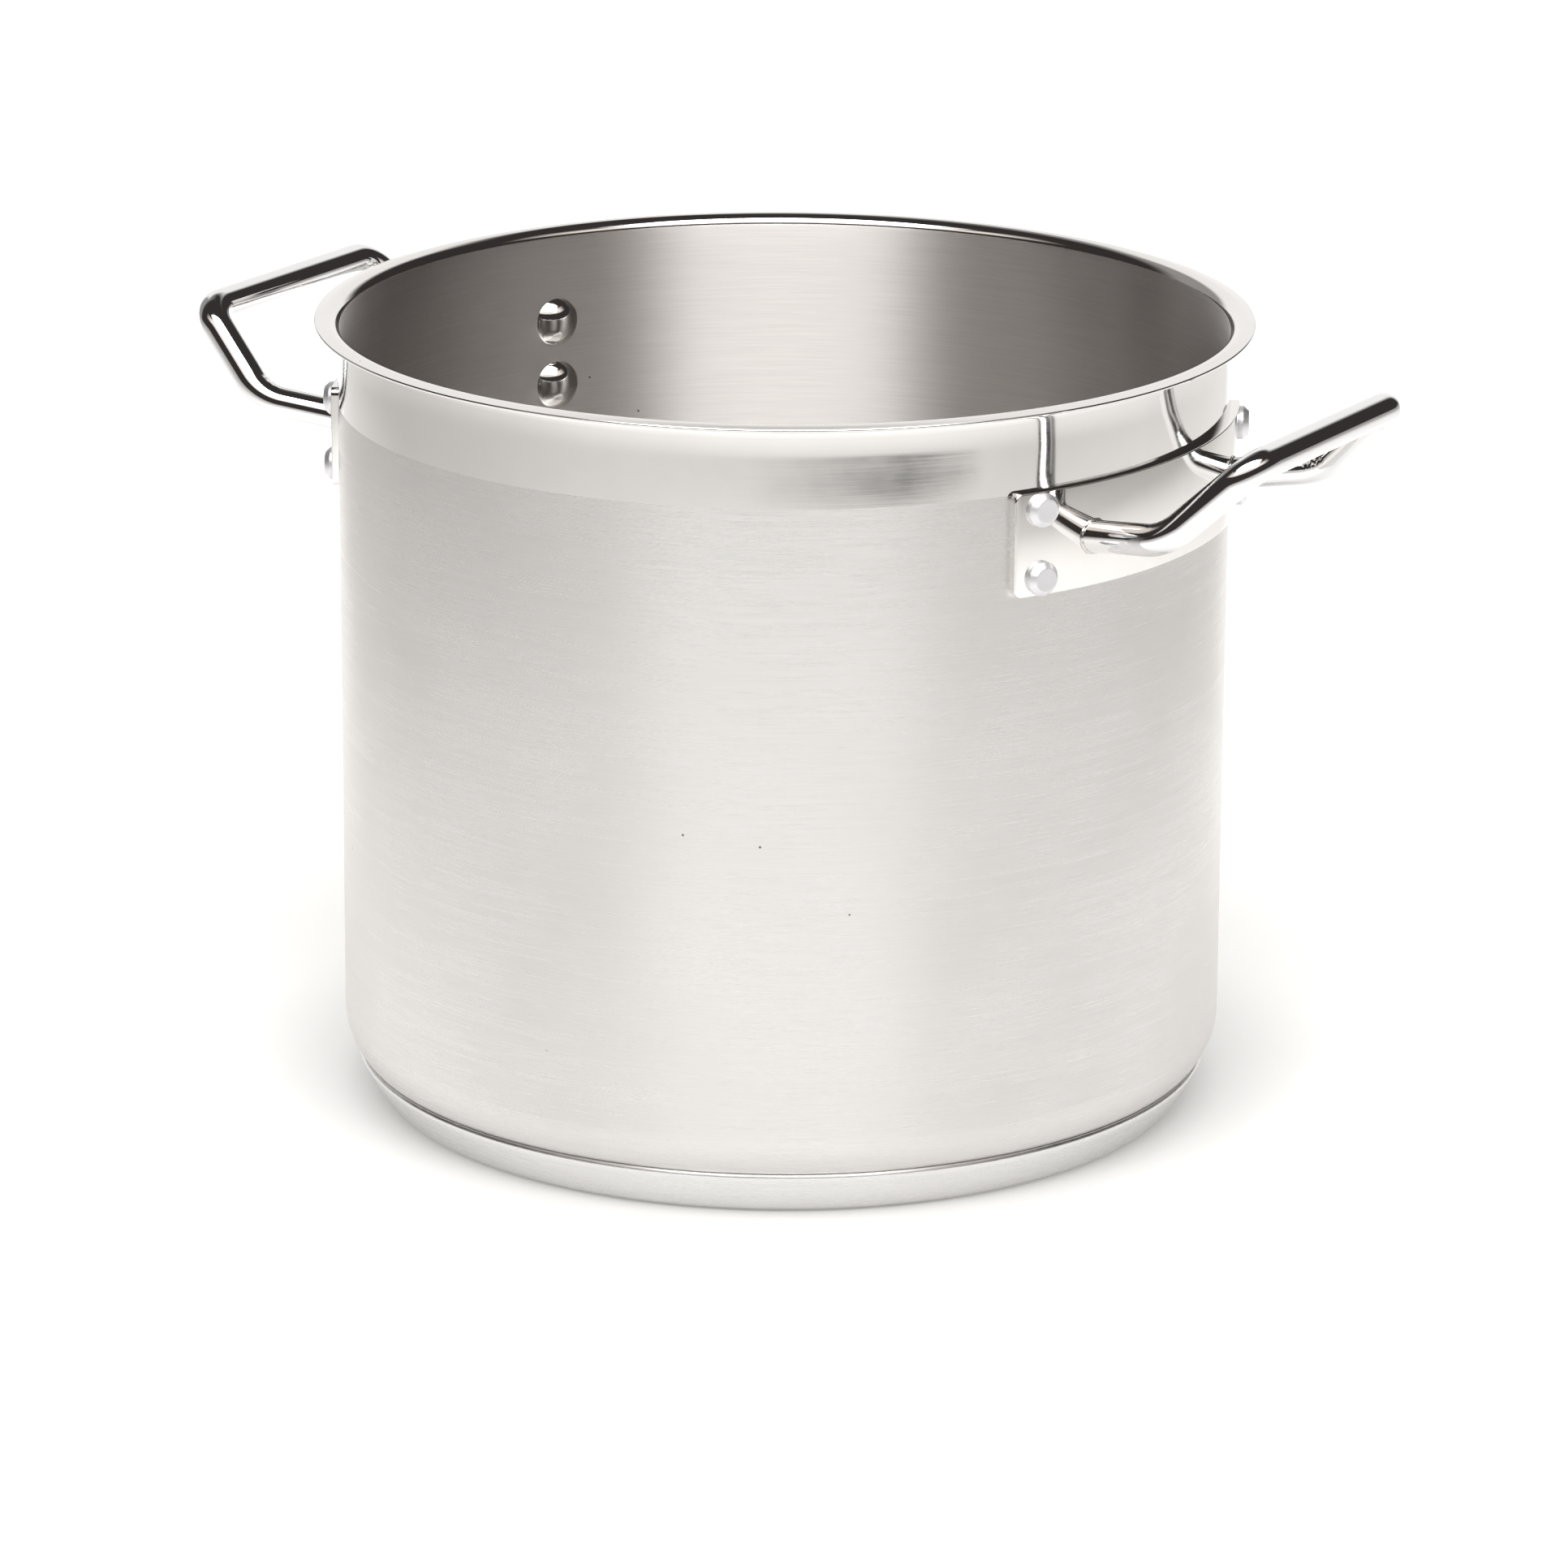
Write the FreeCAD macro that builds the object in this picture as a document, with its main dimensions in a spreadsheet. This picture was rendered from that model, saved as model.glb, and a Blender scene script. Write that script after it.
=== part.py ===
"""Stock pot, parametric model.

A deep round pot spun from one sheet of steel, with a flared pouring rim, a bonded
three-layer base and two bent-tube handles riveted to the wall.

Millimetres, +Z up.  The origin is the centre of the face the pot stands on, and the
handles lie along +X ("right") and -X ("left").  "front" is the -Y side.
"""
import FreeCAD, Part
import Sketcher
import math
import os

V = FreeCAD.Vector
Z_AXIS = V(0, 0, 1)

# name, value, meaning (millimetres and degrees)
DIMENSIONS = [
    ("body_radius", 141.0, "outer radius of the straight wall"),
    ("wall", 1.0, "sheet thickness of the wall and the floor"),
    ("height", 254.0, "top of the rim above the table"),
    ("corner_radius", 20.0, "outer radius between wall and floor"),
    ("floor_under", 7.8, "height of the underside of the floor"),
    ("rim_roll", 3.3, "outer radius of the bend below the rim"),
    ("rim_droop", 14.0, "downward slope of the rim flange"),
    ("rim_radius", 148.5, "outer radius of the rim"),
    ("rim_edge", 0.3, "how far the rim's rounded edge stands out"),
    ("cap_sheet", 0.8, "sheet thickness of the base cap"),
    ("cap_foot_radius", 129.3, "outer radius of the cap at the table"),
    ("cap_edge_radius", 137.0, "outer radius of the cap near its upper edge"),
    ("cap_edge_height", 13.2, "height where the cap edge turns inwards"),
    ("cap_lip_radius", 136.6, "outer radius of the cap's upper edge"),
    ("cap_lip_height", 14.6, "height of the cap's upper edge"),
    ("cap_foot_round", 4.5, "outer edge rounding at the table"),
    ("cap_lip_fall", 0.2, "fall of the cap's upper edge from outside to inside"),
    ("cap_bend_fall", 0.1, "how much lower the cap edge turns on its inside"),
    ("cap_skin", 0.926, "cap sheet measured level, across its sloping edge"),
    ("bracket_thick", 2.8, "plate thickness of a handle bracket"),
    ("bracket_half_angle", 29.9, "half the arc a bracket covers, seen from above"),
    ("bracket_foot", 195.4, "height of the lower edge of a bracket"),
    ("bracket_tall", 32.3, "height of a bracket"),
    ("bracket_corner", 2.6, "corner radius of a bracket"),
    ("bracket_break", 0.4, "edge rounding on the outside of a bracket"),
    ("tube_diameter", 10.0, "outer diameter of a handle tube"),
    ("tube_wall", 1.2, "wall of a handle tube"),
    ("root_side", 44.5, "handle root, sideways from the handle's middle"),
    ("root_height", 210.8, "handle root, height"),
    ("elbow_out", 165.0, "lower bend, distance from the pot's axis"),
    ("elbow_side", 52.3, "lower bend, sideways"),
    ("elbow_height", 214.9, "lower bend, height"),
    ("elbow_bend", 19.0, "lower bend, radius of the tube's centre line"),
    ("grip_out", 190.9, "grip corner, distance from the pot's axis"),
    ("grip_side", 45.6, "grip corner, sideways"),
    ("grip_height", 239.9, "grip corner, height"),
    ("grip_bend", 9.2, "grip corner, radius of the tube's centre line"),
    ("weld_leg", 1.5, "leg length of the weld around a handle root"),
    ("rivet_angle", 26.1, "rivets, angle from the handle's middle"),
    ("rivet_upper", 222.2, "upper rivets, height"),
    ("rivet_lower", 200.8, "lower rivets, height"),
    ("shank", 5.0, "rivet shank diameter"),
    ("button", 10.6, "outer rivet head, diameter at the plate"),
    ("button_flat", 7.2, "outer rivet head, diameter of the flat"),
    ("button_tall", 3.0, "outer rivet head, height"),
    ("button_edge", 0.9, "outer rivet head, height of its straight edge"),
    ("dome", 16.0, "inner rivet head, diameter"),
    ("dome_tall", 4.0, "inner rivet head, height"),
]

doc = FreeCAD.newDocument("StockPot")
sheet = doc.addObject("Spreadsheet::Sheet", "Dims")
for row, (name, value, meaning) in enumerate(DIMENSIONS, start=1):
    sheet.set("A%d" % row, name)
    sheet.set("B%d" % row, "%g" % value)
    sheet.set("C%d" % row, meaning)
    sheet.setAlias("B%d" % row, name)
doc.recompute()

OUT = "Dims.bracket_thick + Dims.body_radius"          # outer face of a bracket
INSIDE = "Dims.body_radius - Dims.wall"                # inner face of the pot's wall
CORNER_X = "Dims.body_radius - Dims.corner_radius"     # centre of the corner arc
CORNER_Z = "Dims.floor_under + Dims.corner_radius"


def value(expression):
    """Number an expression on the dimension sheet stands for."""
    return float(getattr(sheet.evalExpression(expression), "Value",
                         sheet.evalExpression(expression)))


def new_body(label):
    body = doc.addObject("PartDesign::Body", label)
    body.Label = label
    return body


def new_sketch(body, name, plane, lift=None, turn=None):
    """Sketch on an origin plane of a body, lifted or turned by expressions."""
    sketch = body.newObject("Sketcher::SketchObject", name)
    origin = [f for f in body.Origin.OriginFeatures if f.Role == plane][0]
    sketch.AttachmentSupport = [(origin, "")]
    sketch.MapMode = "FlatFace"
    if lift:
        sketch.setExpression("AttachmentOffset.Base.z", lift)
    if turn:
        sketch.AttachmentOffset = FreeCAD.Placement(V(0, 0, 0), FreeCAD.Rotation(V(0, 1, 0), 1))
        sketch.setExpression("AttachmentOffset.Rotation.Angle", turn)
    return sketch


def pin(sketch, geometry, point, x, y, tag):
    """Hold one sketch point at a pair of expressions; "0" means on the axis."""
    for kind, axis, text in (("DistanceX", -2, x), ("DistanceY", -1, y)):
        if text == "0":
            sketch.addConstraint(Sketcher.Constraint("PointOnObject", geometry, point, axis))
            continue
        number = value(text)
        index = sketch.addConstraint(Sketcher.Constraint(kind, -1, 1, geometry, point, number))
        sketch.renameConstraint(index, tag + kind[-1].lower())
        sketch.setExpression("Constraints." + tag + kind[-1].lower(), text)


def outline(sketch, corners, arcs=None):
    """Closed outline through expression corners.

    arcs maps the number of a corner to the centre of the arc that leads on from it.
    """
    arcs = arcs or {}
    points = [V(value(x), value(y), 0) for x, y in corners]
    for i, start in enumerate(points):
        end = points[(i + 1) % len(points)]
        if i in arcs:
            centre = V(value(arcs[i][0]), value(arcs[i][1]), 0)
            radius = (start - centre).Length
            middle = centre + ((start - centre) + (end - centre)).normalize() * radius
            sketch.addGeometry(Part.Arc(start, middle, end))
        else:
            sketch.addGeometry(Part.LineSegment(start, end))
    near_start = {}
    for i, start in enumerate(points):
        head = sketch.getPoint(i, 1)
        near_start[i] = 1 if (head - start).Length < 1e-6 else 2
    for i, (x, y) in enumerate(corners):
        before = (i - 1) % len(points)
        sketch.addConstraint(Sketcher.Constraint(
            "Coincident", before, 3 - near_start[before], i, near_start[i]))
        pin(sketch, i, near_start[i], x, y, "p%d" % i)
    for i, (x, y) in arcs.items():
        if x == "0" and y == "0":
            sketch.addConstraint(Sketcher.Constraint("PointOnObject", i, 3, -2))
        elif x == "0":
            pin_y = sketch.addConstraint(Sketcher.Constraint("DistanceY", -1, 1, i, 3, value(y)))
            sketch.renameConstraint(pin_y, "c%d" % i)
            sketch.setExpression("Constraints.c%d" % i, y)
        else:
            pin_x = sketch.addConstraint(Sketcher.Constraint("DistanceX", -1, 1, i, 3, value(x)))
            sketch.renameConstraint(pin_x, "c%d" % i)
            sketch.setExpression("Constraints.c%d" % i, x)


def revolve(body, sketch, axis):
    turn = body.newObject("PartDesign::Revolution", body.Label + "_turned")
    turn.Profile = sketch
    turn.ReferenceAxis = (sketch, [axis])
    turn.Angle = 360.0
    doc.recompute()
    return turn


def round_edges(body, feature, name, radius, wanted):
    """Fillet the edges of a feature that a test picks out."""
    names = ["Edge%d" % (i + 1) for i, e in enumerate(feature.Shape.Edges) if wanted(e)]
    fillet = body.newObject("PartDesign::Fillet", name)
    fillet.Base = (feature, names)
    fillet.setExpression("Radius", radius)
    doc.recompute()
    return fillet


def drill_rivet_holes(body):
    """Radial holes for all rivets, cut right through the pot's axis."""
    for sign, side in (("", "rise"), ("-", "fall")):
        sketch = new_sketch(body, body.Label + "_holes_" + side, "YZ_Plane",
                            turn=sign + "Dims.rivet_angle")
        for i, level in enumerate(("Dims.rivet_upper", "Dims.rivet_lower")):
            sketch.addGeometry(Part.Circle(V(0, value(level), 0), Z_AXIS, value("Dims.shank") / 2))
            pin(sketch, i, 3, "0", level, "hole%d" % i)
            size = sketch.addConstraint(Sketcher.Constraint("Diameter", i, value("Dims.shank")))
            sketch.renameConstraint(size, "bore%d" % i)
            sketch.setExpression("Constraints.bore%d" % i, "Dims.shank")
        pocket = body.newObject("PartDesign::Pocket", body.Label + "_drilled_" + side)
        pocket.Profile = sketch
        pocket.Type = "ThroughAll"
        pocket.Midplane = True
        doc.recompute()


# ---------------------------------------------------------------- pot and base
ROLL = "Dims.rim_roll"
TOP = "(Dims.rim_roll + Dims.wall)"
RIM_X = "Dims.body_radius + Dims.rim_roll"
RIM_Z = "Dims.height - Dims.rim_roll - Dims.wall"
TILT = "sin(Dims.rim_droop * 1deg)"
LEAN = "cos(Dims.rim_droop * 1deg)"


def rim_point(radius, along):
    """Corner on the flange: a bend radius from the roll's centre, then along the slope."""
    x = "%s + %s * %s + %s * %s" % (RIM_X, radius, TILT, along, LEAN)
    z = "%s + %s * %s - %s * %s" % (RIM_Z, radius, LEAN, along, TILT)
    return x, z


# Length of the flange's straight part; the rounded edge stands rim_edge beyond it.
FLANGE = "((Dims.rim_radius - Dims.rim_edge - Dims.body_radius - %s * %s - Dims.rim_roll) / %s)" % (
    TOP, TILT, LEAN)

pot = new_body("pot_body")
half = new_sketch(pot, "pot_half_section", "XZ_Plane")
floor_top = "Dims.floor_under + Dims.wall"
edge_centre = rim_point("(Dims.rim_roll + Dims.wall / 2)", "(%s - Dims.wall / 4)" % FLANGE)
outline(half, [
    ("0", "Dims.floor_under"),
    (CORNER_X, "Dims.floor_under"),
    ("Dims.body_radius", CORNER_Z),
    ("Dims.body_radius", RIM_Z),
    rim_point(ROLL, "0"),
    rim_point(ROLL, FLANGE),
    rim_point(TOP, FLANGE),
    rim_point(TOP, "0"),
    (INSIDE, RIM_Z),
    (INSIDE, CORNER_Z),
    (CORNER_X, floor_top),
    ("0", floor_top),
], arcs={1: (CORNER_X, CORNER_Z), 3: (RIM_X, RIM_Z), 5: edge_centre,
         7: (RIM_X, RIM_Z), 9: (CORNER_X, CORNER_Z)})
revolve(pot, half, "V_Axis")
drill_rivet_holes(pot)

# The cap's upper edge butts against the rounded corner of the pot.
BUTT_Z = "Dims.cap_lip_height - Dims.cap_lip_fall"
BUTT_X = "%s + sqrt(pow(Dims.corner_radius; 2) - pow(%s - (%s); 2))" % (CORNER_X, CORNER_Z, BUTT_Z)
FOOT_INSIDE = "Dims.cap_foot_radius - Dims.cap_skin"
BEND_INSIDE = ("Dims.cap_edge_radius - Dims.cap_skin", "Dims.cap_edge_height - Dims.cap_bend_fall")

cap = new_body("base_cap")
section = new_sketch(cap, "cap_half_section", "XZ_Plane")
outline(section, [
    ("0", "0"),
    ("Dims.cap_foot_radius", "0"),
    ("Dims.cap_edge_radius", "Dims.cap_edge_height"),
    ("Dims.cap_lip_radius", "Dims.cap_lip_height"),
    (BUTT_X, BUTT_Z),
    BEND_INSIDE,
    (FOOT_INSIDE, "Dims.cap_sheet"),
    ("0", "Dims.cap_sheet"),
])
turned = revolve(cap, section, "V_Axis")


def at_radius(radius, height):
    def test(edge):
        curve = edge.Curve
        return (hasattr(curve, "Radius") and abs(curve.Radius - value(radius)) < 0.01
                and abs(curve.Center.z - value(height)) < 0.01)
    return test


turned = round_edges(cap, turned, "cap_foot_rounded", "Dims.cap_foot_round",
                     at_radius("Dims.cap_foot_radius", "0"))
round_edges(cap, turned, "cap_inside_rounded", "Dims.cap_foot_round - Dims.cap_sheet",
            at_radius(FOOT_INSIDE, "Dims.cap_sheet"))

core = new_body("base_core_disc")
section = new_sketch(core, "core_half_section", "XZ_Plane")
outline(section, [
    ("0", "Dims.cap_sheet"),
    (FOOT_INSIDE, "Dims.cap_sheet"),
    BEND_INSIDE,
    (BUTT_X, BUTT_Z),
    (CORNER_X, "Dims.floor_under"),
    ("0", "Dims.floor_under"),
], arcs={3: (CORNER_X, CORNER_Z)})
turned = revolve(core, section, "V_Axis")
round_edges(core, turned, "core_foot_rounded", "Dims.cap_foot_round - Dims.cap_sheet",
            at_radius(FOOT_INSIDE, "Dims.cap_sheet"))

nodes = [pot, cap, core]

# ---------------------------------------------------------------- handle brackets
SIDES = (("right", 0.0), ("left", 180.0))
ENDS = (("front", -1), ("rear", 1))


def about_axis(angle, lift=0.0):
    return FreeCAD.Placement(V(0, 0, lift), FreeCAD.Rotation(Z_AXIS, angle))


def sector(sketch, inner, outer, half_angle):
    """Arc-shaped strip, symmetric about the sketch's X axis."""
    across, along = "sin(%s * 1deg)" % half_angle, "cos(%s * 1deg)" % half_angle
    a = math.radians(value(half_angle))
    radii = (value(outer), value(inner))
    for radius in radii:
        sketch.addGeometry(Part.ArcOfCircle(Part.Circle(V(0, 0, 0), Z_AXIS, radius), -a, a))
    for s in (-1, 1):
        ray = V(math.cos(a), s * math.sin(a), 0)
        sketch.addGeometry(Part.LineSegment(ray * radii[0], ray * radii[1]))
    for arc, text, tag in ((0, outer, "outer"), (1, inner, "inner")):
        sketch.addConstraint(Sketcher.Constraint("Coincident", arc, 3, -1, 1))
        index = sketch.addConstraint(Sketcher.Constraint("Radius", arc, value(text)))
        sketch.renameConstraint(index, tag)
        sketch.setExpression("Constraints." + tag, text)
        sketch.addConstraint(Sketcher.Constraint("Coincident", arc, 1, 2, 1 + arc))
        sketch.addConstraint(Sketcher.Constraint("Coincident", arc, 2, 3, 1 + arc))
        sketch.addConstraint(Sketcher.Constraint("Symmetric", arc, 1, arc, 2, -1))
    index = sketch.addConstraint(Sketcher.Constraint(
        "DistanceX", -1, 1, 0, 2, value("(%s) * %s" % (outer, along))))
    sketch.renameConstraint(index, "end_x")
    sketch.setExpression("Constraints.end_x", "(%s) * %s" % (outer, along))


def is_plate_corner(edge):
    """Short radial edges at the four corners of the plate."""
    a, b = edge.Vertexes[0].Point, edge.Vertexes[-1].Point
    return abs(a.z - b.z) < 1e-3 and abs((a - b).Length - value("Dims.bracket_thick")) < 1e-3


def is_outer_rim(edge):
    """Edges around the outside face of the plate, not the rivet holes."""
    reach = [math.hypot(v.Point.x, v.Point.y) for v in edge.Vertexes]
    bend = edge.BoundBox
    hole = bend.DiagonalLength < value("Dims.shank") * 1.6 and len(edge.Vertexes) == 1
    return not hole and all(abs(r - value(OUT)) < 1e-3 for r in reach)


for side, heading in SIDES:
    plate = new_body("handle_bracket_" + side)
    strip = new_sketch(plate, "bracket_plan_" + side, "XY_Plane", lift="Dims.bracket_foot")
    sector(strip, "Dims.body_radius", OUT, "Dims.bracket_half_angle")
    pad = plate.newObject("PartDesign::Pad", "bracket_plate_" + side)
    pad.Profile = strip
    pad.setExpression("Length", "Dims.bracket_tall")
    doc.recompute()
    cut = round_edges(plate, pad, "bracket_corners_" + side, "Dims.bracket_corner",
                      is_plate_corner)
    round_edges(plate, cut, "bracket_edges_" + side, "Dims.bracket_break", is_outer_rim)
    drill_rivet_holes(plate)
    plate.Placement = about_axis(heading)
    nodes.append(plate)

# ---------------------------------------------------------------- handle tubes
root_out = math.sqrt(value(OUT) ** 2 - value("Dims.root_side") ** 2)
ROOT = V(root_out, value("Dims.root_side"), value("Dims.root_height"))
ELBOW = V(value("Dims.elbow_out"), value("Dims.elbow_side"), value("Dims.elbow_height"))
GRIP = V(value("Dims.grip_out"), value("Dims.grip_side"), value("Dims.grip_height"))
LEG = (ELBOW - ROOT).normalize()
BURIED = value("Dims.tube_diameter")      # length of tube modelled inside the wall, cut off


def mirrored(point):
    return V(point.x, -point.y, point.z)


def bend(before, corner, after, radius):
    """Arc that replaces a corner of the centre line: start, middle and end."""
    a, b = (before - corner).normalize(), (after - corner).normalize()
    half_angle = a.getAngle(b) / 2
    reach = radius / math.tan(half_angle)
    inward = (a + b).normalize()
    centre = corner + inward * (radius / math.sin(half_angle))
    return corner + a * reach, centre - inward * radius, corner + b * reach


def centre_line():
    """Handle centre line: leg, rise, grip, rise, leg."""
    start = ROOT - LEG * BURIED
    route = [start, ELBOW, GRIP, mirrored(GRIP), mirrored(ELBOW), mirrored(start)]
    radii = [value("Dims." + n) for n in ("elbow_bend", "grip_bend", "grip_bend", "elbow_bend")]
    edges, here = [], start
    for i, radius in enumerate(radii, start=1):
        first, middle, last = bend(route[i - 1], route[i], route[i + 1], radius)
        edges.append(Part.LineSegment(here, first).toShape())
        edges.append(Part.Arc(first, middle, last).toShape())
        here = last
    edges.append(Part.LineSegment(here, route[-1]).toShape())
    return Part.Wire(edges)


spine = doc.addObject("Part::Feature", "handle_centre_line")
spine.Shape = centre_line()
spine_edges = ["Edge%d" % (i + 1) for i in range(len(spine.Shape.Edges))]


def rod(name, radius):
    """Solid bar of a radius expression that follows the centre line."""
    ring = doc.addObject("Part::Circle", name + "_ring")
    ring.setExpression("Radius", radius)
    ring.Placement = FreeCAD.Placement(ROOT - LEG * BURIED, FreeCAD.Rotation(Z_AXIS, LEG))
    sweep = doc.addObject("Part::Sweep", name)
    sweep.Sections = [ring]
    sweep.Spine = (spine, spine_edges)
    sweep.Solid = True
    sweep.Frenet = False
    return sweep


def drum(name, radius):
    """Upright solid cylinder about the pot's axis that spans the handles."""
    shape = doc.addObject("Part::Cylinder", name)
    shape.setExpression("Radius", radius)
    shape.setExpression("Height", "Dims.height * 1.2")
    return shape


def subtract(name, base, tool):
    result = doc.addObject("Part::Cut", name)
    result.Base, result.Tool = base, tool
    return result


for side, heading in SIDES:
    skin = rod("tube_outside_" + side, "Dims.tube_diameter / 2")
    bore = rod("tube_inside_" + side, "Dims.tube_diameter / 2 - Dims.tube_wall")
    pipe = subtract("tube_hollow_" + side, skin, bore)
    tube = subtract("handle_tube_" + side, pipe, drum("tube_trim_" + side, OUT))
    tube.Label = "handle_tube_" + side
    tube.Placement = about_axis(heading)
    nodes.append(tube)

# ---------------------------------------------------------------- welds
for side, heading in SIDES:
    for end, sign in ENDS:
        label = "handle_weld_%s_%s" % (side, end)
        # turned by half a circle, the rear root of one side is the front root of the other
        flip = sign if side == "right" else -sign
        foot = ROOT if flip > 0 else mirrored(ROOT)
        lead = LEG if flip > 0 else mirrored(LEG)
        bead = doc.addObject("Part::Cone", label + "_bead")
        bead.setExpression("Radius1", "Dims.tube_diameter / 2 + Dims.weld_leg * 2")
        bead.setExpression("Radius2", "Dims.tube_diameter / 2")
        bead.setExpression("Height", "Dims.weld_leg * 2")
        bead.Placement = FreeCAD.Placement(foot - lead * value("Dims.weld_leg"),
                                           FreeCAD.Rotation(Z_AXIS, lead))
        core_rod = doc.addObject("Part::Cylinder", label + "_tube")
        core_rod.setExpression("Radius", "Dims.tube_diameter / 2")
        core_rod.setExpression("Height", "Dims.tube_diameter * 2")
        core_rod.Placement = FreeCAD.Placement(foot - lead * BURIED,
                                               FreeCAD.Rotation(Z_AXIS, lead))
        ring = subtract(label + "_ring", bead, core_rod)
        weld = subtract(label, ring, drum(label + "_trim", OUT))
        weld.Label = label
        weld.Placement = about_axis(heading)
        nodes.append(weld)

# ---------------------------------------------------------------- rivets
grip_zone = new_body("rivet_grip_zone")
section = new_sketch(grip_zone, "grip_zone_section", "XZ_Plane")
outline(section, [(INSIDE, "Dims.bracket_foot"), (OUT, "Dims.bracket_foot"),
                  (OUT, "Dims.bracket_foot + Dims.bracket_tall"),
                  (INSIDE, "Dims.bracket_foot + Dims.bracket_tall")])
revolve(grip_zone, section, "V_Axis")
drill_rivet_holes(grip_zone)

DOME_RADIUS = "((pow(Dims.dome / 2; 2) + pow(Dims.dome_tall; 2)) / (2 * Dims.dome_tall))"
SIT = "Dims.body_radius - Dims.wall - Dims.dome_tall"
for side, heading in SIDES:
    for end, sign in ENDS:
        for level in ("upper", "lower"):
            label = "rivet_%s_%s_%s" % (side, end, level)
            blank = new_body(label + "_blank")
            half = new_sketch(blank, label + "_half", "XY_Plane")
            outline(half, [
                (SIT, "0"),
                (INSIDE, "Dims.dome / 2"),
                (INSIDE, "Dims.shank / 2"),
                (OUT, "Dims.shank / 2"),
                (OUT, "Dims.button / 2"),
                (OUT + " + Dims.button_edge", "Dims.button / 2"),
                (OUT + " + Dims.button_tall", "Dims.button_flat / 2"),
                (OUT + " + Dims.button_tall", "0"),
            ], arcs={0: (SIT + " + " + DOME_RADIUS, "0")})
            revolve(blank, half, "H_Axis")
            flip = sign if side == "right" else -sign
            angle = heading + flip * value("Dims.rivet_angle")
            blank.Placement = about_axis(angle, value("Dims.rivet_" + level))
            rivet = subtract(label, blank, grip_zone)
            rivet.Label = label
            nodes.append(rivet)

doc.recompute()

# ---------------------------------------------------------------- checks and files
for thing in doc.Objects:
    if "Invalid" in thing.State or "Error" in thing.State:
        raise RuntimeError("%s did not compute: %s" % (thing.Label, thing.State))
os.makedirs("parts", exist_ok=True)
for node in nodes:
    shape = node.Shape
    if shape.isNull() or not shape.isValid() or len(shape.Solids) != 1:
        raise RuntimeError("%s is not one valid solid (%d)" % (node.Label, len(shape.Solids)))
    shape.exportStep(os.path.join("parts", node.Label + ".step"))
    box = shape.BoundBox
    print("%-28s %8.1f mm3  x %.1f..%.1f  y %.1f..%.1f  z %.1f..%.1f" % (
        node.Label, shape.Volume, box.XMin, box.XMax, box.YMin, box.YMax, box.ZMin, box.ZMax))
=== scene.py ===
"""Stock pot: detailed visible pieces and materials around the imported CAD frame.

Lengths in the tables below are millimetres in the frame's axes; meshes are in metres.
"""
import bmesh
import bpy
import math
from mathutils import Matrix, Quaternion, Vector, noise


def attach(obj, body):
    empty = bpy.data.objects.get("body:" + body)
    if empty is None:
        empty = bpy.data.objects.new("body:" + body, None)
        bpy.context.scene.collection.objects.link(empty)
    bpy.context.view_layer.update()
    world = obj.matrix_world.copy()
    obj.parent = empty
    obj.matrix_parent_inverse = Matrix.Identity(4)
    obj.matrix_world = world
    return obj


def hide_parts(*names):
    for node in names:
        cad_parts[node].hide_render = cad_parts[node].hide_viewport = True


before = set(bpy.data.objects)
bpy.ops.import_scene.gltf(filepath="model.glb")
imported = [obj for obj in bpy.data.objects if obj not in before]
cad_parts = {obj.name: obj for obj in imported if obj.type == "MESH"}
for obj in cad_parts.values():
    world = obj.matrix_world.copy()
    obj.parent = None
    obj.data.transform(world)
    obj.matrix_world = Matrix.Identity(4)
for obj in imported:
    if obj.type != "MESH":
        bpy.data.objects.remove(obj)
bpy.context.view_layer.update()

MM = 0.001

# ---------------------------------------------------------------- sizes
BODY_R, WALL, HEIGHT = 141.0, 1.0, 253.99
CORNER_R, FLOOR_Z = 20.0, 7.8
ROLL_R, DROOP, RIM_R = 3.3, math.radians(14.0), 148.3
BAND_Z = 227.1                                   # lower edge of the mirror-polished band
FLARE, FLARE_Z = 0.25, 241.5                     # the wall starts to lean out below the roll
CAP_FOOT, CAP_FOOT_ROUND, CAP_SHEET = 129.3, 4.5, 0.8
CAP_EDGE, CAP_EDGE_Z, CAP_LIP, CAP_LIP_Z = 137.0, 13.2, 136.6, 14.6
CAP_BUTT = (135.83, 14.35)                       # where the cap meets the rounded corner
PLATE_T, PLATE_HALF, PLATE_Z0, PLATE_Z1 = 2.8, math.radians(29.9), 195.4, 227.7
PLATE_CORNER, PLATE_BREAK = 2.6, 0.4
TUBE_R = 5.0
ROOT = (44.5, 210.8)                             # sideways, up; on the bracket's outside
ELBOW, ELBOW_BEND = (165.0, 52.3, 214.9), 19.0
GRIP, GRIP_BEND = (190.9, 45.6, 239.9), 9.2
RIVET_ANGLE, RIVET_LEVELS = math.radians(26.1), {"upper": 222.2, "lower": 200.8}
SHANK_R, BUTTON_R, BUTTON_FLAT, BUTTON_TALL = 2.5, 5.3, 3.7, 3.0
DOME_R, DOME_TALL = 8.0, 4.0
OUT = BODY_R + PLATE_T

VIEW_AZIMUTH = math.radians(31.2)
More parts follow.
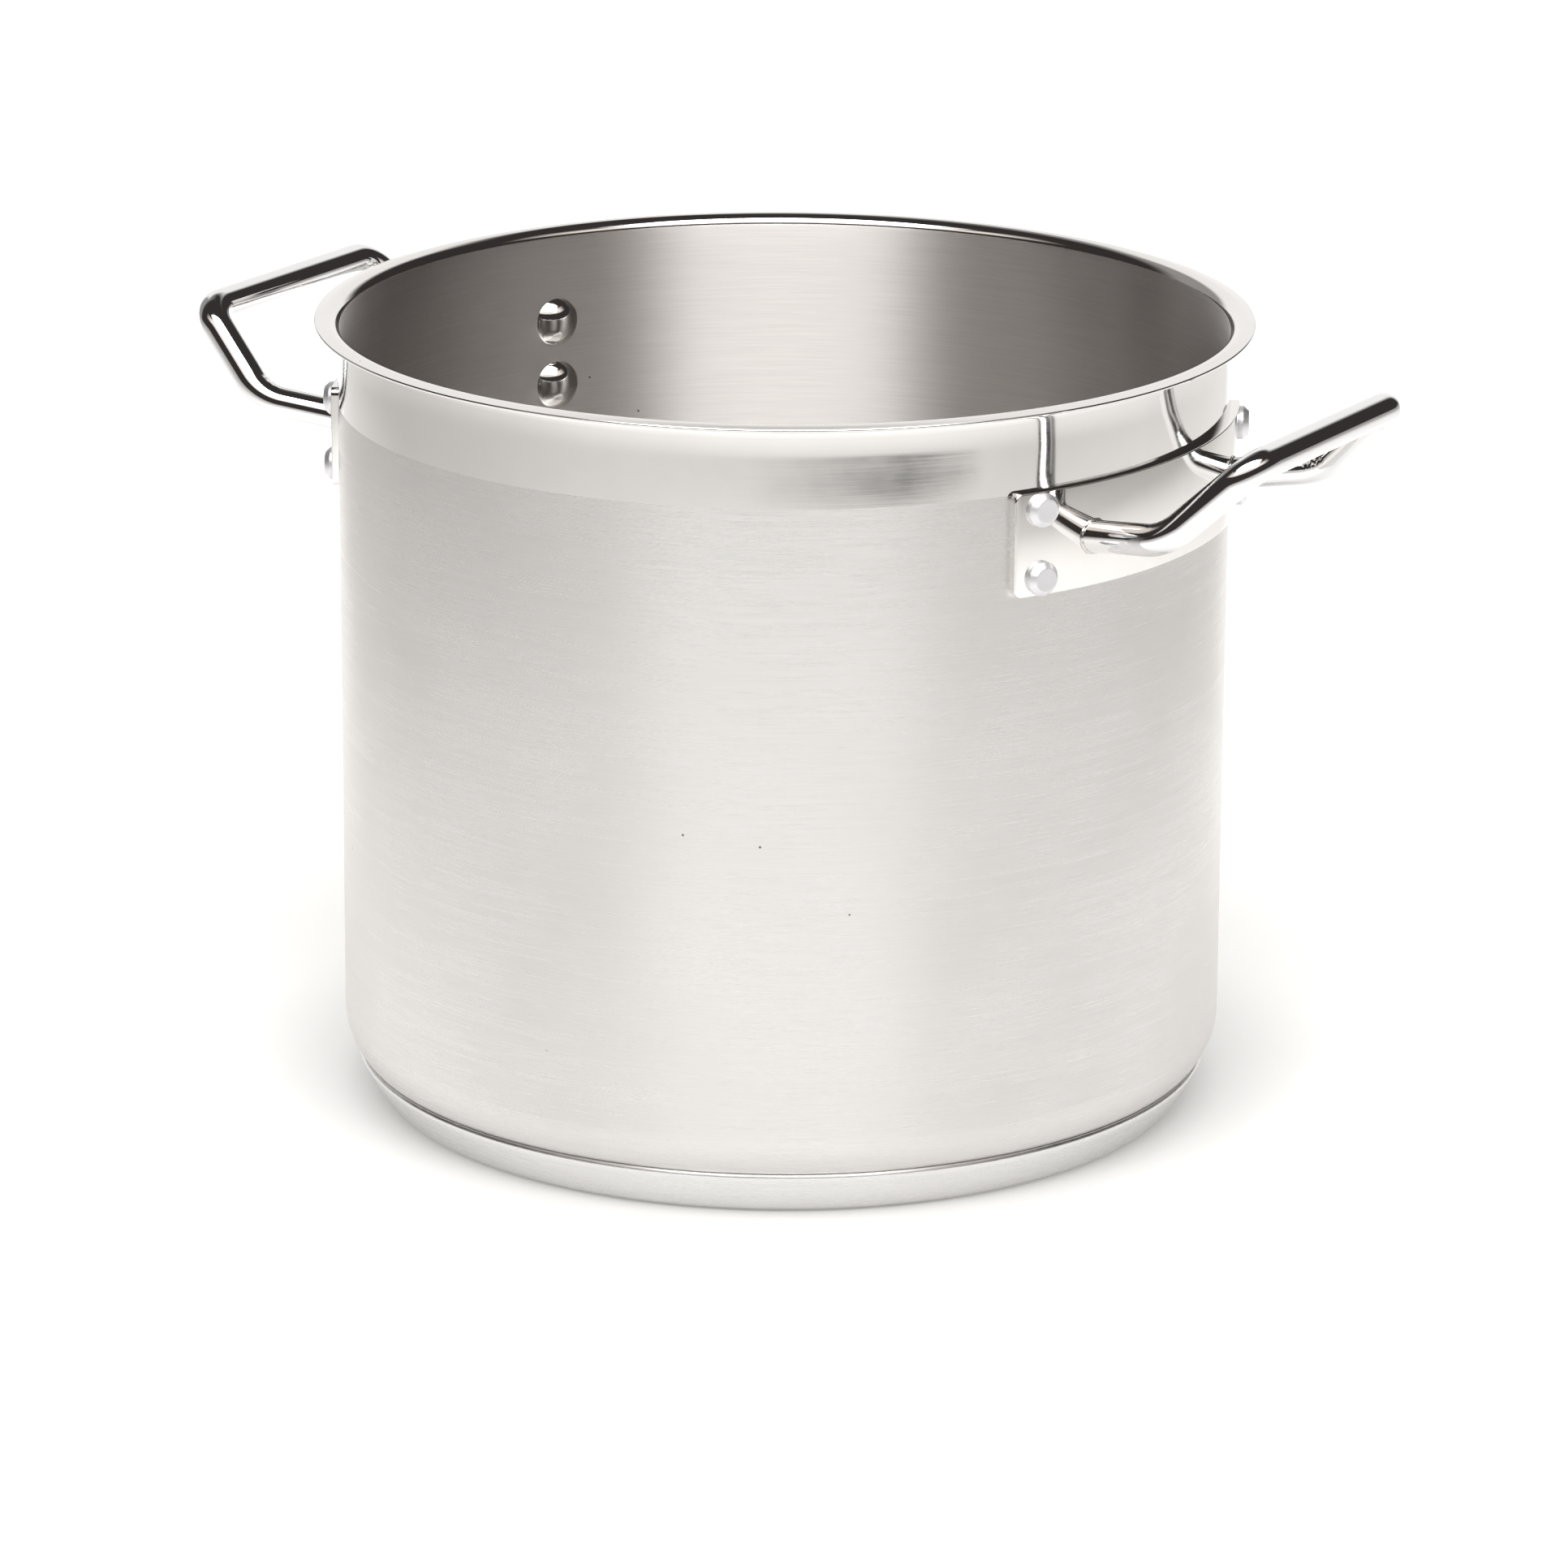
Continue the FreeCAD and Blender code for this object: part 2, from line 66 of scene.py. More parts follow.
# grey bar on the floor: distance and half width, then bearings where it builds up and ends
BAR_REACH, BAR_HALF, BAR_POINT = 1.038, 0.040, math.radians(24.0)
BAR_RISE = (math.radians(-35.0), math.radians(37.0))
BAR_END = (math.radians(47.0), math.radians(50.0))
FLOOR_NEAR, FLOOR_FAR = 1.0, 0.60                # share of the floor's light by the pot, and far out
FALL_OFF = (0.50, 1.15)                          # metres between which it falls off
CONTACT_FOOT, CONTACT_WIDE = (0.125, 0.20), (0.15, 0.50)  # metres over which the shadows fade
CONTACT_LEFT = (0.80, 0.86)                      # share of the light left in each at its darkest
GLOW_NEAR, GLOW_SIDES, GLOW_BACKDROP = 0.34, 0.20, 0.80   # floor's own light: before the pot,
                                                 # added beside it, and far behind it
# sky, as parts of a unit direction: (start, end) of each soft edge
STRIP_RISE, STRIP_TOP, STRIP_NEAR = (0.47, 0.52), (0.68, 0.73), (-0.45, -0.04)
WALL_NEAR, WALL_SIDE, WALL_TOP = (0.05, 0.30), (0.34, 0.56), (0.60, 0.80)
FLANK_NEAR, FLANK_SIDE = (0.38, 0.60), (-0.3, 0.1)
STRIP_COLOUR, WALL_COLOUR = (1.0, 0.91, 0.84), (1.04, 1.02, 1.0)
CEILING = (0.040, 0.035, 0.034)                  # dim room above and beside the pot
# camera: lens and sensor in millimetres, place in metres; pitch is downwards
LENS, SENSOR = 168.2273, 36.0
CAMERA_BACK, CAMERA_UP = 2.25177, 0.78826
PITCH, YAW, ROLL = math.radians(17.0332), math.radians(0.0128), math.radians(0.3151)


# ---------------------------------------------------------------- mesh helpers
def arc(cx, cy, radius, start, end, count):
    """Points on an arc, degrees, both ends included."""
    return [(cx + radius * math.cos(math.radians(start + (end - start) * i / count)),
             cy + radius * math.sin(math.radians(start + (end - start) * i / count)))
            for i in range(count + 1)]


def run(start, end, count):
    """Points on a straight run, without the last."""
    return [(start[0] + (end[0] - start[0]) * i / count, start[1] + (end[1] - start[1]) * i / count)
            for i in range(count)]


def finish_mesh(bm, name, sharp=32.0):
    """Turn a bmesh into a smooth-shaded object with its edges sharp above an angle."""
    bmesh.ops.recalc_face_normals(bm, faces=bm.faces)
    mesh = bpy.data.meshes.new(name)
    bm.to_mesh(mesh)
    bm.free()
    mesh.shade_smooth()
    mesh.set_sharp_from_angle(angle=math.radians(sharp))
    piece = bpy.data.objects.new(name, mesh)
    bpy.context.scene.collection.objects.link(piece)
    return piece


def lathe(name, profile, steps, zones=(), sharp=32.0):
    """Closed surface of revolution about Z through (radius, height) points.

    zones gives (first profile point, material) pairs in order; the rest has material 0.
    """
    bm = bmesh.new()
    rings = []
    for r, z in profile:
        if r < 1e-6:
            rings.append([bm.verts.new((0, 0, z * MM))])
        else:
            turn = [2 * math.pi * k / steps for k in range(steps)]
            rings.append([bm.verts.new((r * math.cos(a) * MM, r * math.sin(a) * MM, z * MM))
                          for a in turn])
    for i in range(len(rings) - 1):
        low, high = rings[i], rings[i + 1]
        material = 0
        for first, index in zones:
            if i >= first:
                material = index
        for k in range(steps):
            j = (k + 1) % steps
            corners = [low[k % len(low)], low[j % len(low)],
                       high[j % len(high)], high[k % len(high)]]
            unique = list(dict.fromkeys(corners))
            if len(unique) > 2:
                bm.faces.new(unique).material_index = material
    return finish_mesh(bm, name, sharp)


# ---------------------------------------------------------------- pot and base
def pot_profile():
    corner = BODY_R - CORNER_R
    corner_z = FLOOR_Z + CORNER_R
    roll_x, roll_z = BODY_R + ROLL_R + FLARE, HEIGHT - ROLL_R - WALL
    droop = 90 - math.degrees(DROOP)
    slope = (math.cos(DROOP), -math.sin(DROOP))
    out = run((0, FLOOR_Z), (corner, FLOOR_Z), 12)
    out += arc(corner, corner_z, CORNER_R, -90, 0, 28)
    out += run((BODY_R, corner_z), (BODY_R, BAND_Z), 60)[1:]
    band = len(out)
    out += run((BODY_R, BAND_Z), (BODY_R, FLARE_Z), 6)
    rise = roll_z - FLARE_Z
    lean = math.atan(2 * FLARE / rise)
    flared = [(FLARE * (i / 8) ** 2, FLARE_Z + rise * i / 8) for i in range(8)]
    out += [(BODY_R + x, z) for x, z in flared]
    under = arc(roll_x, roll_z, ROLL_R, 180 - math.degrees(lean), droop, 14)
    over = arc(roll_x, roll_z, ROLL_R + WALL, droop, 180 - math.degrees(lean), 16)
    length = (RIM_R - 0.3 * WALL - over[0][0]) / slope[0]
    edge = (under[-1][0] + slope[0] * length, under[-1][1] + slope[1] * length)
    out += under + run(under[-1], edge, 3)[1:]
    tip = (edge[0] + math.sin(DROOP) * WALL / 2 - slope[0] * WALL / 4,
           edge[1] + math.cos(DROOP) * WALL / 2 - slope[1] * WALL / 4)
    swing = math.degrees(math.atan2(0.5, 0.25))
    base = -math.degrees(DROOP)
    out += arc(tip[0], tip[1], WALL * math.hypot(0.5, 0.25), base - swing, base + swing, 8)
    top_edge = out.pop()
    out += run(top_edge, over[0], 3) + over
    inside = len(out) - 3
    out += [(BODY_R - WALL + x, z) for x, z in reversed(flared)]
    out += run((BODY_R - WALL, FLARE_Z), (BODY_R - WALL, corner_z), 70)[1:]
    out += arc(corner, corner_z, CORNER_R - WALL, 0, -90, 28)
    out += run((corner, FLOOR_Z + WALL), (0, FLOOR_Z + WALL), 40)[1:] + [(0, FLOOR_Z + WALL)]
    return out, ((band, 1), (inside, 2))


POT_STEPS = 480
pot_points, pot_zones = pot_profile()
pot = lathe("pot_body_visual", pot_points, POT_STEPS, pot_zones)


def cap_profile():
    """Tapered cap: foot rounding tangent to the table and to the leaning side."""
    lean = math.degrees(math.atan2(CAP_EDGE - CAP_FOOT, CAP_EDGE_Z))
    reach = CAP_FOOT_ROUND * math.tan(math.radians(90 - lean) / 2)
    foot = CAP_FOOT - reach
    out = run((0, 0), (foot, 0), 24)
    out += arc(foot, CAP_FOOT_ROUND, CAP_FOOT_ROUND, -90, -lean, 10)
    out += run(out[-1], (CAP_EDGE, CAP_EDGE_Z), 6)[1:]
    out += [(CAP_EDGE, CAP_EDGE_Z), (CAP_EDGE + 0.02, CAP_EDGE_Z + 0.35),
            (CAP_EDGE - 0.1, CAP_EDGE_Z + 0.8), (CAP_LIP, CAP_LIP_Z - 0.12),
            (CAP_LIP - 0.25, CAP_LIP_Z), (CAP_LIP - 0.5, CAP_LIP_Z - 0.02)]
    out += [CAP_BUTT, (CAP_EDGE - CAP_SHEET, CAP_EDGE_Z - 0.1)]
    out += [(CAP_FOOT - CAP_SHEET + 0.4, CAP_SHEET + 2.4), (foot, CAP_SHEET), (0, CAP_SHEET)]
    return out


cap = lathe("base_cap_visual", cap_profile(), POT_STEPS)


# ---------------------------------------------------------------- handle brackets
def plate_outline(inset):
    """Rounded rectangle on the wall, (arc length, height); paired about mid height."""
    half = PLATE_HALF * OUT - inset
    z0, z1 = PLATE_Z0 + inset, PLATE_Z1 - inset
    corner = PLATE_CORNER - inset
    columns = [-half + corner * (1 - math.cos(math.radians(a))) for a in range(0, 90, 9)]
    inner = half - corner
    columns += [-inner + 2 * inner * i / 72 for i in range(73)]
    columns += [-x for x in reversed(columns[:10])]
    points = []
    for x in columns:
        over = max(0.0, abs(x) - inner)
        dip = corner - math.sqrt(max(0.0, corner * corner - over * over))
        points.append((x, z0 + dip, z1 - dip))
    return points


def plate(name, heading):
    """Curved plate with a rounded outer edge, bent to the pot's wall."""
    bm = bmesh.new()
    layers = [(0.0, 0.0), (PLATE_T - PLATE_BREAK, 0.0)]
    for a in (22.5, 45, 67.5, 90):
        layers.append((PLATE_T - PLATE_BREAK * (1 - math.sin(math.radians(a))),
                       PLATE_BREAK * (1 - math.cos(math.radians(a)))))

    def place(along, z, depth):
        a = along / OUT + heading
        r = BODY_R + depth
        return bm.verts.new((r * math.cos(a) * MM, r * math.sin(a) * MM, z * MM))

    loops = []
    for depth, inset in layers:
        rows = plate_outline(inset)
        lower = [place(x, z0, depth) for x, z0, z1 in rows]
        upper = [place(x, z1, depth) for x, z0, z1 in rows]
        loops.append(lower + upper[::-1])
    for a, b in zip(loops, loops[1:]):
        for k in range(len(a)):
            j = (k + 1) % len(a)
            bm.faces.new((a[k], a[j], b[j], b[k]))
    for loop in (loops[0], loops[-1]):
        n = len(loop)
        for k in range(n // 2 - 1):
            bm.faces.new((loop[k], loop[k + 1], loop[n - 2 - k], loop[n - 1 - k]))
    return finish_mesh(bm, name, 40)


# ---------------------------------------------------------------- handle tubes
def tube_route():
    """Centre-line samples of one handle on +X: (point, tangent, closeness to a lower bend)."""
    root = Vector((math.sqrt(OUT ** 2 - ROOT[0] ** 2), ROOT[0], ROOT[1]))
    elbow, grip = Vector(ELBOW), Vector(GRIP)
    leg = (elbow - root).normalized()

    def flip(p):
        return Vector((p.x, -p.y, p.z))

    route = [root - leg * 1.6, elbow, grip, flip(grip), flip(elbow), flip(root - leg * 1.6)]
    radii = (None, ELBOW_BEND, GRIP_BEND, GRIP_BEND, ELBOW_BEND, None)
    samples, here = [], route[0]
    for i in range(1, 5):
        a, b = (route[i - 1] - route[i]).normalized(), (route[i + 1] - route[i]).normalized()
        half = a.angle(b) / 2
        reach = radii[i] / math.tan(half)
        first, last = route[i] + a * reach, route[i] + b * reach
        inward = (a + b).normalized()
        centre = route[i] + inward * (radii[i] / math.sin(half))
        count = max(2, round((first - here).length / 1.5))
        samples += [(here.lerp(first, k / count), -a, None) for k in range(count)]
        normal = (first - centre).cross(last - centre).normalized()
        sweep = math.pi - 2 * half
        steps = max(8, round(sweep * radii[i] / 0.9))
        for k in range(steps):
            spin = Quaternion(normal, sweep * k / steps)
            lower = math.sin(math.pi * k / steps) if i in (1, 4) else None
            samples.append((centre + spin @ (first - centre), spin @ -a,
                            (inward, lower) if lower is not None else None))
        here = last
    end = (route[5] - here).normalized()
    count = max(2, round((route[5] - here).length / 1.5))
    samples += [(here.lerp(route[5], k / count), end, None) for k in range(count + 1)]
    return samples, leg, root


def tube(name, heading):
    """Bent tube; the inside of each lower bend carries the slight wrinkle of cold bending."""
    samples, _, _ = tube_route()
    around = 56
    bm = bmesh.new()
    turn = Matrix.Rotation(heading, 3, "Z")
    up = Vector((0, 0, 1))
    side = samples[0][1].cross(up).normalized()
    rings = []
    for n, (point, tangent, wrinkle) in enumerate(samples):
        side = (side - tangent * side.dot(tangent)).normalized()
        rise = side.cross(tangent)
        ring = []
        for k in range(around):
            a = 2 * math.pi * k / around
            direction = side * math.cos(a) + rise * math.sin(a)
            radius = TUBE_R
            if wrinkle:
                facing = max(0.0, direction.dot(wrinkle[0])) ** 3
                radius += facing * wrinkle[1] * (0.16 * math.sin(n * 1.9) - 0.10)
            ring.append(bm.verts.new(turn @ (point + direction * radius) * MM))
        rings.append(ring)
    for a, b in zip(rings, rings[1:]):
        for k in range(around):
            j = (k + 1) % around
            bm.faces.new((a[k], a[j], b[j], b[k]))
    bm.faces.new(rings[0])
    bm.faces.new(rings[-1][::-1])
    return finish_mesh(bm, name, 50)


def weld(name, heading, end):
    """Uneven bead where a handle tube meets its bracket."""
    _, leg, root = tube_route()
    if end < 0:
        leg, root = Vector((leg.x, -leg.y, leg.z)), Vector((root.x, -root.y, root.z))
    bm = bmesh.new()
    turn = Matrix.Rotation(heading, 3, "Z")
    side = leg.cross(Vector((0, 0, 1))).normalized()
    rise = side.cross(leg)
    rings = []
    for k in range(72):
        a = 2 * math.pi * k / 72
        out = side * math.cos(a) + rise * math.sin(a)
        spot = root + out * TUBE_R
        # slide along the tube to the plate's surface
        for _ in range(4):
            spot += leg * (OUT - math.hypot(spot.x, spot.y)) / leg.dot(
                Vector((spot.x, spot.y, 0)).normalized())
        lump = noise.noise(Vector((3 * math.cos(a), 3 * math.sin(a), heading + end)))
        thick = 0.62 + 0.22 * lump + 0.05 * math.sin(17 * a)
        ring = []
        for m in range(12):
            b = 2 * math.pi * m / 12
            ring.append(bm.verts.new(
                turn @ (spot + (out * math.cos(b) + leg * math.sin(b)) * thick) * MM))
        rings.append(ring)
    for k in range(72):
        a, b = rings[k], rings[(k + 1) % 72]
        for m in range(12):
            j = (m + 1) % 12
            bm.faces.new((a[m], a[j], b[j], b[m]))
    return finish_mesh(bm, name, 60)


def rivet(name, heading, height):
    """One rivet about its own Z, which points out of the pot."""
    inside, outside = BODY_R - WALL, OUT
    sphere = (DOME_R ** 2 + DOME_TALL ** 2) / (2 * DOME_TALL)
    swing = math.degrees(math.asin(DOME_R / sphere))
    centre = inside - DOME_TALL + sphere
    profile = [(0.0, centre - sphere)]
    profile += arc(0, centre, sphere, -90, -90 + swing, 16)[1:]
    profile += [(DOME_R, inside + 0.3), (SHANK_R, inside + 0.3), (SHANK_R, outside - 0.15)]
    shank_top = len(profile) - 1
    profile += [(BUTTON_R - 0.15, outside - 0.15), (BUTTON_R, outside + 0.05)]
    profile += [(BUTTON_R, outside + 0.75)]
    profile += arc(BUTTON_R - 0.7, outside + 1.0, 0.7, 0, 42, 5)
    profile += [(BUTTON_FLAT + 0.22, outside + BUTTON_TALL - 0.2),
                (BUTTON_FLAT + 0.08, outside + BUTTON_TALL - 0.06),
                (BUTTON_FLAT - 0.12, outside + BUTTON_TALL),
                (BUTTON_FLAT - 0.34, outside + BUTTON_TALL - 0.002)]
    profile += [(BUTTON_FLAT * 0.5, outside + BUTTON_TALL - 0.02),
                (0.0, outside + BUTTON_TALL - 0.04)]
    piece = lathe(name, profile, 72, ((0, 1), (shank_top, 0)), sharp=28)
    piece.matrix_world = (Matrix.Rotation(heading, 4, "Z") @ Matrix.Translation((0, 0, height * MM))
                          @ Matrix.Rotation(math.pi / 2, 4, "Y"))
    return piece


# ---------------------------------------------------------------- materials
class Nodes:
    """Short hand for wiring the nodes of a new material, or of a world."""

    def __init__(self, name, owner=None):
        self.material = owner or bpy.data.materials.new(name)
        self.material.use_nodes = True
        self.tree = self.material.node_tree
        self.shader = self.tree.nodes.get("Principled BSDF")

    def add(self, kind, **values):
        node = self.tree.nodes.new(kind)
        for key, value in values.items():
            setattr(node, key, value)
        return node

    def link(self, source, target):
        self.tree.links.new(source, target)

    def math(self, operation, a, b=None, clamp=False):
        node = self.add("ShaderNodeMath", operation=operation, use_clamp=clamp)
        for socket, item in zip(node.inputs, (a, b)):
            if item is None:
                continue
            if isinstance(item, (int, float)):
                socket.default_value = item
            else:
                self.link(item, socket)
        return node.outputs[0]

    def noise(self, vector, scale, detail=2.0, roughness=0.5):
        node = self.add("ShaderNodeTexNoise")
        self.link(vector, node.inputs["Vector"])
        node.inputs["Scale"].default_value = scale
        node.inputs["Detail"].default_value = detail
        node.inputs["Roughness"].default_value = roughness
        return node.outputs["Fac"]

    def stretch(self, across, along):
        """Object coordinates in grain lengths along the grain and grain widths across it.

        across and along are the width and the length of the grain in millimetres.
        """
        place = self.add("ShaderNodeTexCoord").outputs["Object"]
        split = self.add("ShaderNodeSeparateXYZ")
        self.link(place, split.inputs[0])
        x, y, z = split.outputs
        reach = self.math("SQRT", self.math("ADD", self.math("MULTIPLY", x, x),
                                            self.math("MULTIPLY", y, y)))
        combine = self.add("ShaderNodeCombineXYZ")
        self.link(self.math("MULTIPLY", x, 1000.0 / along), combine.inputs[0])
        self.link(self.math("MULTIPLY", y, 1000.0 / along), combine.inputs[1])
        self.link(self.math("MULTIPLY", self.math("ADD", z, reach), 1000.0 / across),
                  combine.inputs[2])
        return combine.outputs[0]

    def spread(self, value, low, high, start=0.0, end=1.0, shape="LINEAR"):
        node = self.add("ShaderNodeMapRange", interpolation_type=shape)
        self.link(value, node.inputs["Value"])
        for key, number in (("From Min", start), ("From Max", end),
                            ("To Min", low), ("To Max", high)):
            node.inputs[key].default_value = number
        return node.outputs[0]

    def blend(self, factor, dark, light):
        node = self.add("ShaderNodeMix", data_type="RGBA")
        self.link(factor, node.inputs["Factor"])
        for key, item in (("A", dark), ("B", light)):
            socket = [s for s in node.inputs if s.name == key and s.type == "RGBA"][0]
            if isinstance(item, tuple):
                socket.default_value = (*item, 1.0)
            else:
                self.link(item, socket)
        return [s for s in node.outputs if s.type == "RGBA"][0]

    def bump(self, height, strength, distance, under=None):
        node = self.add("ShaderNodeBump")
        node.inputs["Strength"].default_value = strength
        node.inputs["Distance"].default_value = distance
        self.link(height, node.inputs["Height"])
        if under:
            self.link(under, node.inputs["Normal"])
        return node.outputs["Normal"]


def specks(nodes, size, share):
    """Sparse tiny pits: 1 in a pit, 0 elsewhere."""
    place = nodes.add("ShaderNodeTexCoord").outputs["Object"]
    cells = nodes.add("ShaderNodeTexVoronoi")
    nodes.link(place, cells.inputs["Vector"])
    cells.inputs["Scale"].default_value = 1000.0 / size
    near = nodes.math("LESS_THAN", cells.outputs["Distance"], 0.035)
    split = nodes.add("ShaderNodeSeparateColor")
    nodes.link(cells.outputs["Color"], split.inputs[0])
    chosen = nodes.math("LESS_THAN", split.outputs[0], share)
    return nodes.math("MULTIPLY", near, chosen)


def brushed(name, tint, rough, grain, anisotropy, axis="Z"):
    """Steel brushed around the pot's axis: fine and coarse grain, faint cloudiness, pits."""
    nodes = Nodes(name)
    shader = nodes.shader
    shader.inputs["Specular Tint"].default_value = (0.92, 0.915, 0.91, 1.0)
    fine = nodes.noise(nodes.stretch(0.30, 26.0), 1.0, 3.0, 0.62)
    broad = nodes.noise(nodes.stretch(2.6, 120.0), 1.0, 2.0)
    cloud_place = nodes.add("ShaderNodeTexCoord").outputs["Object"]
    cloud = nodes.noise(cloud_place, 16.0, 3.0)
    pit = specks(nodes, 11.0, 0.16)
    dark = tuple(c * (1 - 0.06 * grain) for c in tint)
    light = tuple(min(1.0, c * (1 + 0.03 * grain)) for c in tint)
    grained = nodes.blend(nodes.spread(fine, 0, 1, 0.3, 0.7), dark, light)
    stained = nodes.blend(nodes.spread(cloud, 0, 0.35, 0.52, 0.8), grained,
                          tuple(c * f for c, f in zip(tint, (0.93, 0.92, 0.89))))
    final = nodes.blend(pit, stained, (0.16, 0.15, 0.14))
    nodes.link(final, shader.inputs["Base Color"])
    uneven = nodes.math("ADD", nodes.spread(fine, -0.035, 0.035, 0.3, 0.7),
                        nodes.math("ADD", nodes.spread(cloud, -0.012, 0.015, 0.35, 0.65),
                                   nodes.spread(broad, -0.008, 0.008, 0.3, 0.7)))
    nodes.link(nodes.math("ADD", uneven, rough, clamp=True), shader.inputs["Roughness"])
    normal = nodes.bump(fine, 0.15 * grain, 0.00006)
    normal = nodes.bump(broad, 0.05 * grain, 0.00015, normal)
    nodes.link(normal, shader.inputs["Normal"])
    shader.inputs["Metallic"].default_value = 1.0
    shader.inputs["Anisotropic"].default_value = anisotropy
    shader.inputs["Anisotropic Rotation"].default_value = 0.25
    tangent = nodes.add("ShaderNodeTangent", direction_type="RADIAL", axis=axis)
    nodes.link(tangent.outputs[0], shader.inputs["Tangent"])
    return nodes.material


def polished(name, tint, rough, ripple, scale=55.0):
    """Mirror-polished steel: hairline scratches, a slight ripple and a few pits."""
    nodes = Nodes(name)
    shader = nodes.shader
    place = nodes.add("ShaderNodeTexCoord").outputs["Object"]
    wave = nodes.noise(place, scale, 1.0, 0.4)
    haze = nodes.noise(place, 38.0, 4.0, 0.6)
    hair = nodes.noise(nodes.stretch(0.5, 26.0), 1.0, 2.0)
    pit = specks(nodes, 7.0, 0.10)
    base = nodes.blend(nodes.spread(haze, 0, 1, 0.35, 0.7), tuple(c * 0.965 for c in tint), tint)
    nodes.link(nodes.blend(pit, base, (0.2, 0.18, 0.16)), shader.inputs["Base Color"])
    uneven = nodes.math("ADD", nodes.spread(haze, -0.012, 0.022, 0.35, 0.7),
                        nodes.spread(hair, -0.008, 0.014, 0.35, 0.7))
    nodes.link(nodes.math("ADD", uneven, rough, clamp=True), shader.inputs["Roughness"])
    normal = nodes.bump(wave, ripple, 0.0004)
    normal = nodes.bump(hair, 0.03, 0.00004, normal)
    nodes.link(normal, shader.inputs["Normal"])
    shader.inputs["Metallic"].default_value = 1.0
    return nodes.material


def satin(name, tint, rough, lump=0.25, dent_scale=320.0):
    """Satin metal with fine grit and shallow dents: rivet buttons, welds, the core."""
    nodes = Nodes(name)
    shader = nodes.shader
    place = nodes.add("ShaderNodeTexCoord").outputs["Object"]
    grit = nodes.noise(place, 1900.0, 3.0, 0.6)
    dents = nodes.noise(place, dent_scale, 2.0)
    nodes.link(nodes.blend(nodes.spread(grit, 0, 1, 0.3, 0.7), tuple(c * 0.93 for c in tint), tint),
               shader.inputs["Base Color"])
    nodes.link(nodes.spread(grit, rough - 0.06, rough + 0.06, 0.3, 0.7), shader.inputs["Roughness"])
    normal = nodes.bump(dents, lump, 0.0002)
    nodes.link(nodes.bump(grit, 0.12, 0.00003, normal), shader.inputs["Normal"])
    shader.inputs["Metallic"].default_value = 1.0
    return nodes.material


BODY_STEEL = brushed("steel_brushed", (0.757, 0.745, 0.733), 0.29, 0.7, 0.93)
INNER_STEEL = brushed("steel_brushed_inside", (0.80, 0.772, 0.748), 0.49, 1.3, 0.99)
BAND_STEEL = polished("steel_polished_band", (0.79, 0.78, 0.765), 0.07, 0.05, 24.0)
CAP_STEEL = brushed("steel_spun_base", (0.84, 0.835, 0.83), 0.28, 0.5, 0.8)
TUBE_STEEL = polished("steel_polished_tube", (0.83, 0.83, 0.835), 0.05, 0.06, 60.0)
PLATE_STEEL = polished("steel_polished_plate", (0.82, 0.81, 0.79), 0.05, 0.10, 45.0)
WELD_STEEL = satin("steel_weld", (0.66, 0.64, 0.61), 0.26, 0.6)
BUTTON_STEEL = satin("steel_satin", (0.84, 0.84, 0.86), 0.50, 0.05, 900.0)
DOME_STEEL = polished("steel_polished_dome", (0.82, 0.81, 0.79), 0.07, 0.05, 130.0)
CORE_METAL = satin("aluminium_core", (0.80, 0.80, 0.80), 0.4)


def dress(piece, materials, slot, *nodes):
    """Give a visible piece its materials and let it stand for its CAD nodes."""
    for material in materials:
        piece.data.materials.append(material)
    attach(piece, "root")
    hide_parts(*nodes)
    return piece


dress(pot, (BODY_STEEL, BAND_STEEL, INNER_STEEL), "body_steel", "pot_body")
dress(cap, (CAP_STEEL,), "base_steel", "base_cap")
for side, heading in (("right", 0.0), ("left", math.pi)):
    dress(plate("bracket_visual_" + side, heading), (PLATE_STEEL,), "polished_steel",
          "handle_bracket_" + side)
    dress(tube("tube_visual_" + side, heading), (TUBE_STEEL,), "polished_steel",
          "handle_tube_" + side)
    for end, sign in (("front", -1), ("rear", 1)):
        local = sign if side == "right" else -sign
        dress(weld("weld_visual_%s_%s" % (side, end), heading, local), (WELD_STEEL,),
              "weld_steel", "handle_weld_%s_%s" % (side, end))
        for level, height in RIVET_LEVELS.items():
            name = "%s_%s_%s" % (side, end, level)
            dress(rivet("rivet_visual_" + name, heading + local * RIVET_ANGLE, height),
                  (BUTTON_STEEL, DOME_STEEL), "rivet_steel", "rivet_" + name)

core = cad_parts["base_core_disc"]
core.data.materials.clear()
core.data.materials.append(CORE_METAL)

# ---------------------------------------------------------------- floor, light, camera
scene = bpy.context.scene


def toward_view(x, y, z):
    """Point given across, away from and above the pot as the camera sees it, in metres."""
    c, s = math.cos(VIEW_AZIMUTH), math.sin(VIEW_AZIMUTH)
    return Vector((x * c - y * s, x * s + y * c, z))


def in_view(nodes, vector):
    """Turn a vector so that X runs across the view and Y away from the camera."""
    turn = nodes.add("ShaderNodeVectorRotate", rotation_type="Z_AXIS")
    nodes.link(vector, turn.inputs["Vector"])
    turn.inputs["Angle"].default_value = -VIEW_AZIMUTH
    split = nodes.add("ShaderNodeSeparateXYZ")
    nodes.link(turn.outputs[0], split.inputs[0])
    return split.outputs


bm = bmesh.new()
bmesh.ops.create_grid(bm, x_segments=8, y_segments=8, size=9.0)
floor = finish_mesh(bm, "floor")
paper = Nodes("floor_white")
paper_place = paper.add("ShaderNodeTexCoord").outputs["Object"]
across, away, _ = in_view(paper, paper_place)
nearer = paper.math("MINIMUM", away, 0.0)


def length(nodes, a, b):
    """Length of the hypotenuse over two values."""
    return nodes.math("SQRT", nodes.math("ADD", nodes.math("MULTIPLY", a, a),
                                         nodes.math("MULTIPLY", b, b)))


